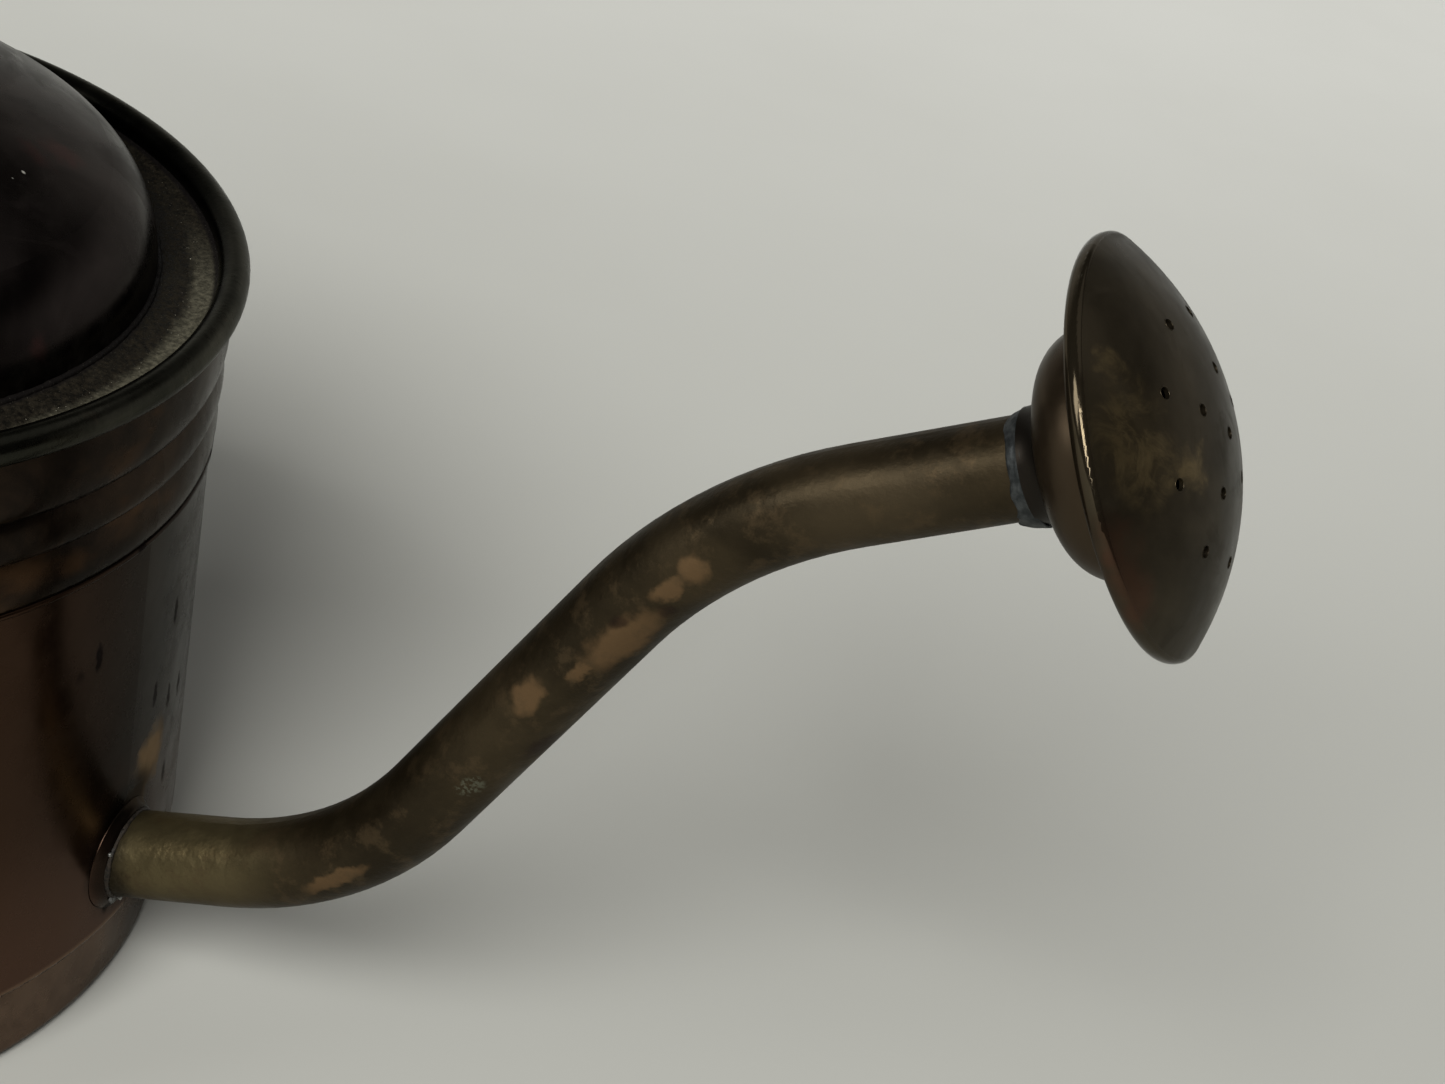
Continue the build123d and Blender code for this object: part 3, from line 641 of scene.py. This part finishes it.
# ---- rose: solder smear, burrs round the holes ----
def rose_solder_smear():
    """Uneven sleeve of solder that runs from the neck down onto the tube, with a drip below."""
    steps_round, steps_along = 96, 14
    # Length, lift and height are in mm.
    rings = []
    for along in range(steps_along + 1):
        share = along / steps_along
        ring = []
        for angle in turns(steps_round):
            out = ROSE_UP * math.cos(angle) + SIDE * math.sin(angle)
            below = max(0.0, -math.cos(angle))
            length = 2.2 + 0.7 * ripple(out, 2.2, 3.0) + 0.4 * ripple(out, 6.0, 8.0) + 2.8 * below**4
            lift = 0.45 + 0.16 * ripple(out + ROSE_AXIS * share, 4.5, 1.0) + 1.0 * below**5
            edge = math.sqrt(max(0.0, 1 - (1 - share) ** 2))
            height = -0.12 + (lift + 0.12) * edge + 0.4 * share**2
            centre = NECK_BACK - ROSE_AXIS * (1 - share) * length * MM + ROSE_AXIS * 0.6 * share * MM
            ring.append(centre + out * (TUBE_RADIUS + height * MM))
        rings.append(ring)
    inner = [
        [point + (on_rose_axis(point) - point).normalized() * 0.3 * MM for point in ring]
        for ring in (rings[-1], rings[0])
    ]
    points, faces = loft(rings + inner, closed=True)
    smear = piece("rose_solder_smear", points, faces, "solder")
    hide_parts("rose_solder")


def on_rose_axis(point):
    """The nearest place on the rose's axis."""
    return NECK_BACK + ROSE_AXIS * (point - NECK_BACK).dot(ROSE_AXIS)


def hole_places():
    """Where the rose's holes are, as (radius, degrees) about the rose's axis."""
    places = [(0.0, 0.0)]
    places += [(INNER_HOLES_RADIUS, degrees) for degrees in INNER_HOLES_DEGREES]
    apart = 360 / OUTER_HOLES
    places += [(OUTER_HOLES_RADIUS, OUTER_HOLES_FIRST + apart * index) for index in range(OUTER_HOLES)]
    return places


def rose_hole_burrs():
    """A low uneven burr round each hole, pushed up when the holes were punched."""
    burr_radius = 0.99 * MM
    thickness = 0.10 * MM
    sunk = 0.05 * MM
    centre = ROSE_RIM + ROSE_AXIS * (FACE_RISE - FACE_BALL)
    points, faces = [], []
    for index, (radius, degrees) in enumerate(hole_places()):
        turn = math.radians(degrees)
        flat = ROSE_UP * math.cos(turn) + SIDE * math.sin(turn)
        height = math.sqrt(FACE_BALL**2 - radius**2)
        out = (flat * radius + ROSE_AXIS * height).normalized()
        across = out.orthogonal().normalized()
        other = out.cross(across)
        rings = []
        for angle in turns(28):
            way = across * math.cos(angle) + other * math.sin(angle)
            size = thickness * (1 + 0.45 * ripple(way, 2.2, index * 3.1))
            middle = centre + out * (FACE_BALL - sunk) + way * burr_radius
            rings.append(section(middle, way * size, out * size))
        ring_points, ring_faces = loft(rings, closed=True)
        start = len(points)
        points += ring_points
        faces += [tuple(start + corner for corner in face) for face in ring_faces]
    piece("rose_hole_burrs", points, faces, "dark_brass")


# ---- spout's root: flare, sooty seam, bright drops ----
def root_frame():
    """Spout direction, the up direction square to it, and where the spout's axis meets the wall."""
    along = Vector((math.cos(ROOT_SLOPE), 0, math.sin(ROOT_SLOPE)))
    up = Vector((-along.z, 0, along.x))
    centre = Vector((wall_radius(ROOT_HEIGHT), 0, ROOT_HEIGHT))
    return along, up, centre


def wall_radius(height):
    """Outside radius of the tapering wall at a height."""
    share = (height - WALL_FOOT_Z) / (WALL_TOP_Z - WALL_FOOT_Z)
    return WALL_FOOT_RADIUS + (WALL_TOP_RADIUS - WALL_FOOT_RADIUS) * share


def on_wall(point, along, lift):
    """Slides a point along a direction until it lies at a lift above the wall."""
    for _ in range(6):
        radius = wall_radius(point.z) + lift
        point = point + along * ((math.sqrt(radius**2 - point.y**2) - point.x) / along.x)
    return point


def spout_root_flare():
    """Smooth raised collar of the wall's own sheet, drawn up round the tube."""
    along, up, centre = root_frame()
    # Outline in mm: distance out from the tube, height above the wall.
    outline = ((2.5, 0.0), (2.2, 0.20), (1.7, 0.62), (1.2, 1.15), (0.8, 1.55), (0.45, 1.72), (0.12, 1.62))
    underside = ((0.12, -0.1), (2.4, -0.1))
    rings = []
    for angle in turns(120):
        out = up * math.cos(angle) + SIDE * math.sin(angle)
        wave = 1 + 0.06 * ripple(out, 1.6, 4.0)
        waved = [(wide * wave, tall) for wide, tall in outline]
        ring = []
        for wide, tall in (*waved, *underside):
            ring.append(on_wall(centre + out * (TUBE_RADIUS + wide * MM), along, tall * MM))
        rings.append(ring)
    points, faces = loft(rings, closed=True)
    flare = piece("spout_root_flare", points, faces, "copper_sheet", "copper_wall")
    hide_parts("spout_root_ring")


def root_solder_bead():
    """Uneven sooty seam between the spout and its flare."""
    along, up, centre = root_frame()
    rings = []
    for angle in turns(150):
        out = up * math.cos(angle) + SIDE * math.sin(angle)
        middle = on_wall(centre + out * (TUBE_RADIUS + 0.05 * MM), along, 1.72 * MM)
        swell = 1 + 0.40 * ripple(middle, 260, 2.0) + 0.2 * ripple(middle, 900, 4.0)
        rings.append(section(middle, out * 0.45 * MM * swell, along * 0.70 * MM * swell, sides=12))
    points, faces = loft(rings, closed=True)
    bead = piece("root_solder_bead", points, faces, "solder", "soot")
    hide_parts("spout_root_solder")


def root_solder_drops():
    """Bright drops that the iron left on the seam."""
    along, up, centre = root_frame()
    # Angle round the spout, and half width and half height in mm.
    drops = ((-2.45, 0.75, 0.85), (-2.85, 0.5, 0.55), (-1.05, 0.4, 0.45))
    ball = icosphere(3)
    points, faces = [], []
    for number, (angle, size, lift) in enumerate(drops):
        out = up * math.cos(angle) + SIDE * -math.sin(angle)
        place = on_wall(centre + out * (TUBE_RADIUS + 0.5 * MM), along, 1.75 * MM)
        radii = (size * MM, 1.1 * size * MM, lift * MM)
        add_lump(points, faces, ball, place, radii, Matrix.Identity(3), number * 5.0)
    piece("root_solder_drops", points, faces, "solder", "bright_solder")


# ---- handle ----
def handle_bead(name, replaced, centre, along, wide, tall, sunk):
    """Cone-shaped uneven bead round the handle, where it stands on a plate."""
    up = along.orthogonal().normalized()
    side = along.cross(up)
    rings = []
    for angle in turns(90):
        out = up * math.cos(angle) + side * math.sin(angle)
        spread = wide * (1 + 0.18 * ripple(out, 2.2, 5.0))
        climb = tall * (1 + 0.22 * ripple(out, 2.8, 9.0))
        foot = centre + out * HANDLE_RADIUS
        rings.append(
            [
                foot - along * sunk,
                foot + out * spread - along * sunk,
                foot + out * spread * 0.96 + along * 0.05 * climb,
                foot + out * spread * 0.62 + along * 0.22 * climb,
                foot + out * spread * 0.30 + along * 0.52 * climb,
                foot + out * spread * 0.10 + along * climb,
                foot - out * 0.2 * MM + along * climb,
            ]
        )
    points, faces = loft(rings, closed=True)
    bead = piece(name, points, faces, "solder")
    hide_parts(replaced)


def handle_beads():
    """Solder round both ends of the handle."""
    climb = HOOD_HIGH.z + 0.4 * MM - HANDLE_FRONT_PLACE.z
    foot = HANDLE_FRONT_PLACE + HANDLE_FRONT_WAY * (climb / HANDLE_FRONT_WAY.z)
    handle_bead("handle_front_bead", "handle_front_solder", foot, HANDLE_FRONT_WAY, *mm(2.3, 3.0, 1.2))
    low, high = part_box("handle_rear_palm")
    seat = Vector((low.x + 0.2 * MM, 0, (low.z + high.z) / 2))
    handle_bead("handle_rear_bead", "handle_rear_solder", seat, HANDLE_REAR_WAY, *mm(2.5, 5.0, 1.0))


# ---- seams ----
def outward(angle):
    """Level direction away from the can's axis."""
    return Vector((math.cos(angle), math.sin(angle), 0))


def collar_seam():
    """Wall metal pressed up into the seam below the collar."""
    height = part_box("ribbed_collar")[0].z
    rings = []
    for angle in turns(240):
        out = outward(angle)
        size = 0.62 * MM * (1 + 0.15 * ripple(out, 30, 2.0))
        rings.append(section(out * WALL_TOP_RADIUS + UP * height, out * size, UP * size))
    points, faces = loft(rings, closed=True)
    piece("collar_seam", points, faces, "copper_collar", "copper_wall")


def hood_foot_bead():
    """Dirty fillet along the hood's foot."""
    low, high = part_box("hood_foot_solder")
    radius = high.x - 0.55 * MM
    limit = math.acos((HOOD_LOW.x + 2.6 * MM) / radius)
    steps = 260
    rings = []
    for step in range(steps + 1):
        out = outward(-limit + 2 * limit * step / steps)
        size = 0.62 * MM * (1 + 0.35 * ripple(out, 14, 1.0) + 0.25 * ripple(out, 50, 6.0))
        centre = out * radius + UP * (low.z + 0.1 * MM)
        rings.append(section(centre, out * size, UP * size))
    points, faces = loft(rings)
    bead = piece("hood_foot_bead", points, faces, "dusty_deck")
    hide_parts("hood_foot_solder")


# ---- dust ----
def deck_grains():
    """Grains of sand and grit that lie on the deck, most of them by the hood's foot."""
    chance = random.Random(7)
    ball = icosphere(1)
    points, faces = [], []
    inner = HOOD_HIGH.x + 0.5 * MM
    breadth = 7.5 * MM
    dip = 0.65 * MM
    for number in range(1500):
        angle = chance.uniform(-math.pi, math.pi)
        share = chance.random() ** 1.5
        radius = inner + share * breadth
        if math.cos(angle) * radius < HOOD_LOW.x and chance.random() < 0.6:
            continue
        size = chance.uniform(0.04, 0.11) * MM * (1.6 if chance.random() < 0.05 else 1.0)
        height = DECK_TOP - dip * math.sin(math.pi * share) + 0.3 * size
        centre = outward(angle) * radius + UP * height
        squash = (size, size * chance.uniform(0.6, 1.0), size * chance.uniform(0.5, 0.9))
        turn = Matrix.Rotation(chance.uniform(0, math.pi), 3, "Z")
        add_lump(points, faces, ball, centre, squash, turn, number * 0.37, 0.4)
    piece("deck_grains", points, faces, "dusty_deck", "grit")


# ---- room: floor, lights, camera ----
def floor():
    """A large level sheet on the floor plane."""
    half, steps = 7.0, 28
    points = []
    faces = []
    for row in range(steps + 1):
        for col in range(steps + 1):
            points.append((half * (2 * col / steps - 1), half * (2 * row / steps - 1), 0.0))
    for row in range(steps):
        for col in range(steps):
            first = row * (steps + 1) + col
            faces.append((first, first + 1, first + steps + 2, first + steps + 1))
    mesh = bpy.data.meshes.new("floor")
    mesh.from_pydata(points, [], faces)
    mesh.materials.append(floor_finish())
    ground = bpy.data.objects.new("floor", mesh)
    bpy.context.scene.collection.objects.link(ground)


def soft_light(name, place, aim, size, power, colour):
    """A rectangular lamp at a place, turned towards its aim."""
    lamp = bpy.data.lights.new(name, "AREA")
    lamp.shape = "RECTANGLE"
    lamp.size, lamp.size_y = size
    lamp.energy = power
    lamp.color = colour
    light = bpy.data.objects.new(name, lamp)
    light.location = place
    light.rotation_euler = (Vector(aim) - Vector(place)).to_track_quat("-Z", "Y").to_euler()
    bpy.context.scene.collection.objects.link(light)


def far_and_low(nodes, links):
    """Share that grows towards the far side of the room and towards its horizon."""
    facing = nodes.new("ShaderNodeSeparateXYZ")
    links.new(nodes.new("ShaderNodeTexCoord").outputs["Generated"], facing.inputs[0])
    shares = []
    for side, start, end in (("Y", 0.10, 0.80), ("Z", 0.58, 0.26)):
        share = nodes.new("ShaderNodeMapRange")
        share.interpolation_type = "SMOOTHSTEP"
        share.inputs["From Min"].default_value = start
        share.inputs["From Max"].default_value = end
        links.new(facing.outputs[side], share.inputs["Value"])
        shares.append(share.outputs[0])
    both = nodes.new("ShaderNodeMath")
    both.operation = "MULTIPLY"
    for socket, share in zip(both.inputs, shares):
        links.new(share, socket)
    return both.outputs[0]


def surroundings():
    """What the metal mirrors, dim but brighter far off and low; the camera itself sees a plain pale grey."""
    world = bpy.data.worlds.new("room")
    world.use_nodes = True
    nodes, links = world.node_tree.nodes, world.node_tree.links
    tone = nodes.new("ShaderNodeMix")
    tone.data_type = "RGBA"
    tone.inputs[6].default_value = (0.034, 0.033, 0.031, 1)
    tone.inputs[7].default_value = (0.60, 0.59, 0.56, 1)
    links.new(far_and_low(nodes, links), tone.inputs[0])
    dim = nodes["Background"]
    links.new(tone.outputs[2], dim.inputs["Color"])
    pale = nodes.new("ShaderNodeBackground")
    pale.inputs["Color"].default_value = (0.62, 0.63, 0.60, 1)
    seen = nodes.new("ShaderNodeLightPath")
    choice = nodes.new("ShaderNodeMixShader")
    links.new(seen.outputs["Is Camera Ray"], choice.inputs[0])
    links.new(dim.outputs[0], choice.inputs[1])
    links.new(pale.outputs[0], choice.inputs[2])
    links.new(choice.outputs[0], nodes["World Output"].inputs["Surface"])
    bpy.context.scene.world = world


def lights():
    """Two soft windows on the near side and a faint ceiling."""
    soft_light("window", (0.02, -5.85, 5.40), (0.15, 0.0, 0.05), (4.3, 3.4), 690, (1.0, 0.99, 0.96))
    soft_light("side_window", (-3.6, -3.1, 2.3), (0.1, 0.0, 0.1), (1.6, 2.0), 62, (1.0, 1.0, 0.98))
    soft_light("ceiling", (0.8, 1.2, 4.0), (0.2, 0.6, 0.0), (3.6, 3.6), 12, (1.0, 0.99, 0.97))


def camera():
    """Looks down on the spout from its near side, turned about its own line of sight."""
    place = (0.25335, -0.36547, 0.35677)
    pitch, yaw, roll = 0.5304, -0.1925, 0.2611
    forward = Vector((math.sin(yaw) * math.cos(pitch), math.cos(yaw) * math.cos(pitch), -math.sin(pitch)))
    level = Vector((math.cos(yaw), -math.sin(yaw), 0))
    upward = level.cross(forward)
    right = level * math.cos(roll) + upward * math.sin(roll)
    above = upward * math.cos(roll) - level * math.sin(roll)
    lens = bpy.data.cameras.new("camera")
    lens.sensor_fit = "HORIZONTAL"
    lens.sensor_width = 36
    lens.lens = 68.69
    lens.clip_start, lens.clip_end = 0.01, 30
    eye = bpy.data.objects.new("camera", lens)
    turn = Matrix((right, above, -forward)).transposed().to_4x4()
    eye.matrix_world = Matrix.Translation(place) @ turn
    bpy.context.scene.collection.objects.link(eye)
    bpy.context.scene.camera = eye
    bpy.context.scene.view_settings.view_transform = "Standard"


camera()
surroundings()
lights()
floor()
dress_cad_nodes()
rose_solder_smear()
rose_hole_burrs()
spout_root_flare()
root_solder_bead()
root_solder_drops()
handle_beads()
collar_seam()
hood_foot_bead()
deck_grains()
